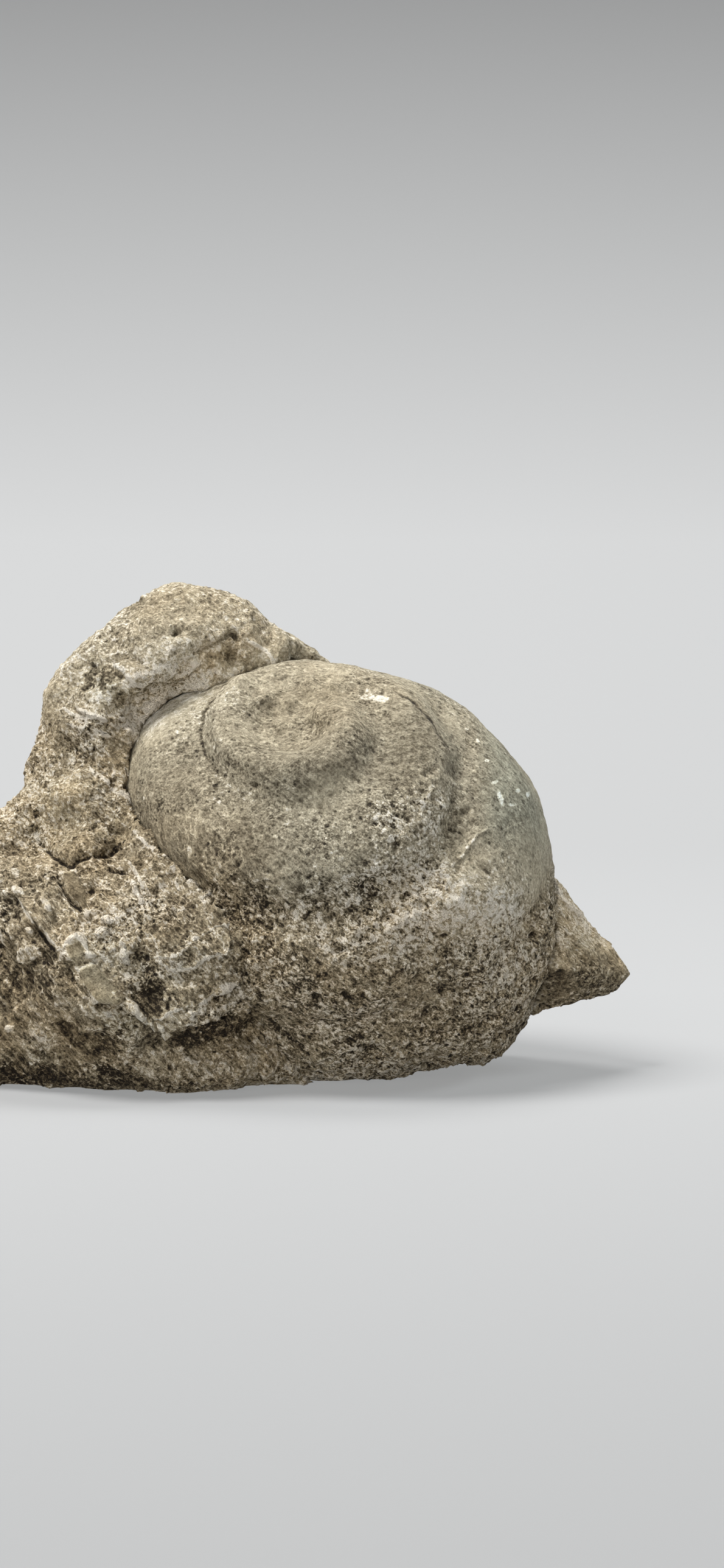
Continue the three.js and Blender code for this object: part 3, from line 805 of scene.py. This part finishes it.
class Nodes:
    """Short names for the shader nodes used here. Sizes are in millimetres."""

    def __init__(self, name):
        self.material = bpy.data.materials.new(name)
        self.material.use_nodes = True
        self.tree = self.material.node_tree
        self.shader = self.tree.nodes["Principled BSDF"]
        self.place = self.tree.nodes.new("ShaderNodeTexCoord").outputs["Object"]

    def put(self, socket, value):
        """Links another node's output to a socket, or sets the socket to a number or a colour."""
        if isinstance(value, bpy.types.NodeSocket):
            self.tree.links.new(value, socket)
        else:
            socket.default_value = value

    def noise(self, size, detail, roughness, at=None):
        """Noise with features about size across."""
        node = self.tree.nodes.new("ShaderNodeTexNoise")
        self.put(node.inputs["Vector"], at or self.place)
        node.inputs["Scale"].default_value = 1 / (size * MM)
        node.inputs["Detail"].default_value = detail
        node.inputs["Roughness"].default_value = roughness
        return node.outputs["Fac"]

    def streaks(self, across, along, turn):
        """Noise drawn out along a line that falls to the right by turn, as seen from the front."""
        mapping = self.tree.nodes.new("ShaderNodeMapping")
        mapping.vector_type = "TEXTURE"
        self.put(mapping.inputs["Vector"], self.place)
        mapping.inputs["Rotation"].default_value = (0, turn, 0)
        mapping.inputs["Scale"].default_value = (along / across, 1, 1)
        return self.noise(across, 3, 0.6, mapping.outputs["Vector"])

    def hairs(self, across, along, turn, core, edge):
        """Thin wandering lines, where drawn-out noise passes its middle: 1 within core of it, 0 beyond edge."""
        off = self.math("ABSOLUTE", self.total((self.streaks(across, along, turn), 1.0), -0.5))
        return self.fit(off, core, edge, 1.0, 0.0)

    def specks(self, size, reach, share):
        """Small dots, 1 inside: one to a cell of the given size, in the given share of the cells."""
        node = self.tree.nodes.new("ShaderNodeTexVoronoi")
        self.put(node.inputs["Vector"], self.place)
        node.inputs["Scale"].default_value = 1 / (size * MM)
        chosen = self.fit(node.outputs["Color"], 1 - share, 1.03 - share)
        return self.times(chosen, self.fit(node.outputs["Distance"], 0.5 * reach, reach, 1.0, 0.0))

    def mask(self, name):
        """A mask that Surface.store kept in the mesh."""
        node = self.tree.nodes.new("ShaderNodeAttribute")
        node.attribute_name = name
        return node.outputs["Fac"]

    def line(self, name, half_width, wobble):
        """1 on the thin lines that Surface.store_lines kept, half_width pixels each side."""
        across = self.math("ABSOLUTE", self.total((self.mask(name + "_side"), 1.0), (wobble, 0.06), -0.53))
        thin = self.fit(across, 0.15 * half_width / LINE_REACH, 0.5 * half_width / LINE_REACH, 1.0, 0.0)
        return self.times(thin, self.fit(self.mask(name + "_near"), 0.5, 0.75))

    def fit(self, value, low, high, to_low=0.0, to_high=1.0):
        """Maps low..high to to_low..to_high, clamped."""
        node = self.tree.nodes.new("ShaderNodeMapRange")
        self.put(node.inputs["Value"], value)
        for name, number in (("From Min", low), ("From Max", high), ("To Min", to_low), ("To Max", to_high)):
            node.inputs[name].default_value = number
        return node.outputs["Result"]

    def centred(self, noise, spread):
        """Noise that strays by spread from its middle, stretched to -0.5..0.5."""
        return self.fit(noise, 0.5 - spread, 0.5 + spread, -0.5, 0.5)

    def math(self, operation, a, b=0.0):
        """One of the math node's operations on sockets or numbers."""
        node = self.tree.nodes.new("ShaderNodeMath")
        node.operation = operation
        self.put(node.inputs[0], a)
        self.put(node.inputs[1], b)
        return node.outputs[0]

    def times(self, a, b):
        return self.math("MULTIPLY", a, b)

    def total(self, *terms):
        """The sum of (socket, weight) pairs and of plain numbers."""
        whole = sum(term for term in terms if not isinstance(term, tuple))
        for socket, weight in (term for term in terms if isinstance(term, tuple)):
            whole = self.math("ADD", whole, self.times(socket, weight))
        return whole

    def ramp(self, value, colours):
        """Even stops from the first colour at 0 to the last at 1."""
        node = self.tree.nodes.new("ShaderNodeValToRGB")
        stops = node.color_ramp.elements
        while len(stops) < len(colours):
            stops.new(0.5)
        for i, colour in enumerate(colours):
            stops[i].position = i / (len(colours) - 1)
            stops[i].color = colour
        self.put(node.inputs["Fac"], value)
        return node.outputs["Color"]

    def tint(self, colour, by, amount=1.0):
        """A colour multiplied by another one, in part where amount is under 1."""
        node = self.tree.nodes.new("ShaderNodeMix")
        node.data_type = "RGBA"
        node.blend_type = "MULTIPLY"
        factor, first, second, result = node.inputs[0], node.inputs[6], node.inputs[7], node.outputs[2]
        self.put(factor, amount)
        self.put(first, colour)
        self.put(second, by)
        return result

    def bump(self, height, depth, normal=None):
        """Bump whose height of 1 stands depth millimetres."""
        node = self.tree.nodes.new("ShaderNodeBump")
        node.inputs["Strength"].default_value = 1.0
        node.inputs["Distance"].default_value = depth * MM
        self.put(node.inputs["Height"], height)
        if normal is not None:
            self.put(node.inputs["Normal"], normal)
        return node.outputs["Normal"]


TONES = [
    linear(42, 35, 26),
    linear(100, 91, 73),
    linear(158, 149, 127),
    linear(205, 195, 170),
    linear(250, 244, 230),
]
WARM = (1.0, 0.87, 0.72, 1)
GREY = (0.84, 0.94, 1.0, 1)
STONE_SPECULAR = 0.25
CRACK_HALF_WIDTH = 4.5  # pixels
VEIN_HALF_WIDTH = 4.0


def stone(name, roughness, contrast, level):
    """Sandy limestone: noise of several sizes and the masks choose among the tones, from dirt and painted shade to
    pale.
    """
    n = Nodes(name)
    rough = n.mask("rough")

    # The grain of the stone, from the finest up, which is harsher where the stone is rough
    harsh = n.total((rough, 0.5 * contrast), (n.times(rough, rough), 1.4 * contrast), 0.55 * contrast)
    sand = n.times(n.centred(n.noise(0.36, 1, 0.6), 0.23), harsh)
    fibre = n.times(n.centred(n.streaks(0.45, 1.3, FIBRE_TURN), 0.18), harsh)
    grain = n.times(n.centred(n.noise(1.0, 4, 0.75), 0.2), harsh)
    mottle = n.times(n.centred(n.noise(2.2, 6, 0.75), 0.16), harsh)
    broad = n.centred(n.noise(11, 4, 0.6), 0.2)
    falling = n.times(n.centred(n.streaks(0.7, 9, STREAK_TURN), 0.15), n.mask("streak"))
    rising = n.times(n.centred(n.streaks(0.8, 7, RISE_TURN), 0.15), n.mask("rising"))
    streak = n.math("ADD", falling, rising)

    # Small things in it: pin holes, light grains, threads of calcite and flecks of shell
    hole = n.math("MAXIMUM", n.specks(1.5, 0.36, 0.4), n.specks(0.8, 0.34, 0.35))
    hole = n.times(hole, n.fit(rough, 0.0, 0.8, 0.45, 1.5))
    grit = n.times(n.specks(1.3, 0.36, 0.4), n.fit(rough, 0.0, 0.8, 0.4, 1.6))
    thread = n.times(n.hairs(3.2, 7, STREAK_TURN, 0.005, 0.02), n.fit(mottle, -0.4, 0.0))
    thread = n.times(thread, n.mask("thread"))
    fleck = n.times(n.hairs(1.5, 3.0, FIBRE_TURN, 0.02, 0.06), n.fit(grain, 0.05, 0.35))
    fleck = n.times(fleck, n.fit(rough, 0.3, 0.8))

    # The drawn lines and the masks, with ragged edges
    crack = n.times(n.line("crack", CRACK_HALF_WIDTH, mottle), n.fit(mottle, 0.45, 0.1))
    vein = n.times(n.line("vein", VEIN_HALF_WIDTH, mottle), n.fit(mottle, -0.45, -0.1))
    ragged = n.total((grain, 0.5), (mottle, 0.5))
    dark = n.fit(n.total((n.mask("dark"), 1.0), (ragged, -0.4)), 0.1, 0.9)
    pale = n.fit(n.total((n.mask("pale"), 1.0), (ragged, 0.8)), 0.3, 0.6)

    value = n.total(
        (sand, 0.4), (fibre, 0.42), (grain, 0.32), (mottle, 0.27), (broad, 0.1), (streak, 0.45),
        (dark, -0.44), (pale, 0.42), (crack, -0.65), (vein, 0.62),
        (thread, 0.45), (fleck, 0.55), (hole, -0.26), (grit, 0.24),
        # the broad tones, mostly painted light and shade
        (n.mask("shade"), 1.0), level - 0.5,
    )
    warm = n.times(n.mask("warm"), n.fit(n.noise(6, 4, 0.6), 0.3, 0.6, 0.6, 1.0))
    warm = n.times(warm, n.fit(value, 0.6, 1.0, 1.05, 0.6))  # the palest stone is less warm
    colour = n.tint(n.ramp(value, TONES), WARM, warm)
    n.put(n.shader.inputs["Base Color"], n.tint(colour, GREY, n.mask("grey")))
    n.shader.inputs["Roughness"].default_value = roughness
    n.shader.inputs["Specular IOR Level"].default_value = STONE_SPECULAR
    coarse = n.bump(n.total((mottle, 1.0), (streak, 0.5), (crack, -0.8), (vein, 0.4), (hole, -0.5)), 1.0)
    n.put(n.shader.inputs["Normal"], n.bump(grain, 0.4, coarse))
    return n.material


def dress(obj, node, material):
    """Gives a piece its material and tells the frame what it stands for."""
    obj.data.materials.clear()
    obj.data.materials.append(material)
    obj.data.shade_smooth()
    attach(obj, "root")
    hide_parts(node)


# ---- The stage, in millimetres ----
BACKDROP_WIDTH = 4000
BACKDROP_FRONT = -1500
BACKDROP_BEND = 350  # y at which the floor starts to curve up
BACKDROP_RADIUS = 400
BACKDROP_TOP = 2500
PAPER = linear(120, 120, 120)
PAPER_GLOW = linear(161, 162, 162)
PAPER_GLOW_STRENGTH = 0.8
# The wall's and the floor's fades are painted shade on the paper.
WALL_FADE = (0.07, 0.26, 1.0, 0.46)  # between these heights in metres the wall darkens from 1 to 0.46
FLOOR_FADE = (-0.3, 0.1, 0.8, 1.0)  # the same for y, towards the camera
LIGHTS = [  # name, place, what it points at, width, watts, colour
    ("key", (-400, -200, 900), (0, 0, 40), 420, 14.8, (1, 1, 1)),
    ("side", (650, 60, 500), (20, 0, 40), 350, 3.0, (0.9, 0.96, 1.0)),
    ("fill", (-250, -1000, 240), (0, 0, 40), 550, 5.4, (1, 1, 1)),
    ("backdrop_wash", (0, 420, 1300), (0, 760, 300), 700, 15, (1, 1, 1)),
]
WORLD_COLOUR = (0.95, 0.97, 1.0, 1)
WORLD_STRENGTH = 0.15


def make_backdrop():
    """A pale floor that curves up into a wall."""
    bend = [
        (BACKDROP_BEND + BACKDROP_RADIUS * math.sin(a), BACKDROP_RADIUS * (1 - math.cos(a)))
        for a in np.linspace(0, math.pi / 2, 24)
    ]
    profile = [(BACKDROP_FRONT, 0), *bend, (BACKDROP_BEND + BACKDROP_RADIUS, BACKDROP_TOP)]
    half = BACKDROP_WIDTH / 2
    vertices = [(x * MM, y * MM, z * MM) for y, z in profile for x in (-half, half)]
    faces = [(2 * i, 2 * i + 1, 2 * i + 3, 2 * i + 2) for i in range(len(profile) - 1)]
    mesh = bpy.data.meshes.new("backdrop")
    mesh.from_pydata(vertices, [], faces)
    mesh.shade_smooth()
    mesh.materials.append(backdrop_paper())
    obj = bpy.data.objects.new("backdrop", mesh)
    bpy.context.scene.collection.objects.link(obj)


def backdrop_paper():
    """Paper that glows a little, so that it is evenly pale and the shadow on it is faint, and that darkens upwards
    and towards the camera as painted shade.
    """
    n = Nodes("backdrop_paper")
    place = n.tree.nodes.new("ShaderNodeSeparateXYZ")
    n.put(place.inputs["Vector"], n.place)
    tone = n.times(n.fit(place.outputs["Z"], *WALL_FADE), n.fit(place.outputs["Y"], *FLOOR_FADE))
    n.put(n.shader.inputs["Base Color"], n.tint(PAPER, tone))
    n.put(n.shader.inputs["Emission Color"], n.tint(PAPER_GLOW, tone))
    n.shader.inputs["Emission Strength"].default_value = PAPER_GLOW_STRENGTH
    n.shader.inputs["Roughness"].default_value = 0.95
    n.shader.inputs["Specular IOR Level"].default_value = 0.1
    return n.material


def make_lights():
    """A soft key from the upper left, two weak fills, a wash for the wall and a faint even world."""
    for name, place, aim, width, watts, colour in LIGHTS:
        light = bpy.data.lights.new(name, "AREA")
        light.shape = "DISK"
        light.size = width * MM
        light.energy = watts
        light.color = colour
        obj = bpy.data.objects.new(name, light)
        obj.location = Vector(place) * MM
        obj.rotation_euler = (Vector(aim) - Vector(place)).to_track_quat("-Z", "Y").to_euler()
        bpy.context.scene.collection.objects.link(obj)
    world = bpy.data.worlds.new("studio")
    world.use_nodes = True
    background = world.node_tree.nodes["Background"]
    background.inputs["Color"].default_value = WORLD_COLOUR
    background.inputs["Strength"].default_value = WORLD_STRENGTH
    bpy.context.scene.world = world


def make_camera():
    """The camera faces the leaning face squarely."""
    camera = bpy.data.cameras.new("camera")
    camera.sensor_fit = "VERTICAL"
    camera.angle = 2 * math.atan(FRAME_PIXELS[1] / 2 / PIXELS_PER_MM / CAMERA_DISTANCE)
    camera.clip_start = 0.01
    camera.clip_end = 20
    obj = bpy.data.objects.new("camera", camera)
    lean = Matrix([list(row) for row in lean_matrix()])
    right, forward, up = (lean @ Vector(axis) for axis in ((1, 0, 0), (0, 1, 0), (0, 0, 1)))
    turned = Matrix((right, up, -forward)).transposed().to_4x4()
    place = to_row((VIEW_CENTRE[0], -CAMERA_DISTANCE, VIEW_CENTRE[1]))
    obj.matrix_world = Matrix.Translation(place) @ turned
    bpy.context.scene.collection.objects.link(obj)
    bpy.context.scene.camera = obj


mould = make_mould()
lighten(mould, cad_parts["matrix"])
dress(mould, "gastropod", stone("mould_stone", roughness=0.85, contrast=0.8, level=0.55))
matrix = make_matrix(mould)
lighten(matrix, mould)
dress(matrix, "matrix", stone("matrix_stone", roughness=0.9, contrast=0.85, level=0.68))
make_backdrop()
make_lights()
make_camera()
bpy.context.scene.view_settings.view_transform = "Standard"
